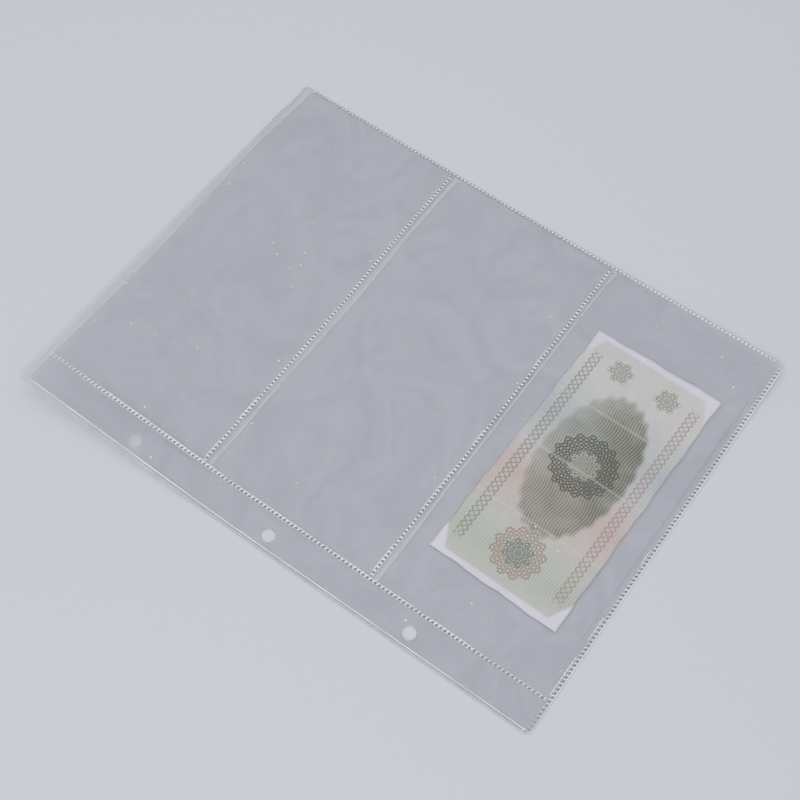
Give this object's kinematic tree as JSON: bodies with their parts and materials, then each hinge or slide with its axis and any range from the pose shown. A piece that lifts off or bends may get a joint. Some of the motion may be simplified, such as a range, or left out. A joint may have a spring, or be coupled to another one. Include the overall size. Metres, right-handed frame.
{
  "type": "banknote album page",
  "caption": "Clear film album page with a punched binder margin and wide open-topped pockets in rows, the lowest holding a folded paper note that slides out.",
  "frame": {"origin": "middle of the page's footprint, on its underside", "axes": "+X from the binding edge to the outer edge, +Y up the page towards the pockets' open mouths, +Z out of the page's front"},
  "size_m": [0.205, 0.266, 0.0013],
  "materials": {
    "clear_film": "clear, glossy, faintly rippled",
    "welded_film": "clear film pressed into bright ribs",
    "note_paper": "soft printed paper with fold marks"
  },
  "bodies": {
    "page": {"back_sheet": "clear_film", "front_sheet": "clear_film", "binding_weld": "welded_film", "upper_row_weld": "welded_film", "lower_row_weld": "welded_film", "bottom_weld": "welded_film", "outer_weld": "welded_film", "top_edge_weld": "welded_film", "binding_edge_weld": "welded_film"},
    "note": {"paper_note": "note_paper"}
  },
  "joints": [
    {"name": "note_slide", "type": "slide", "parent": "page", "child": "note", "axis": [0, 1, 0], "range_m": [-0.007, 0.076]}
  ]
}
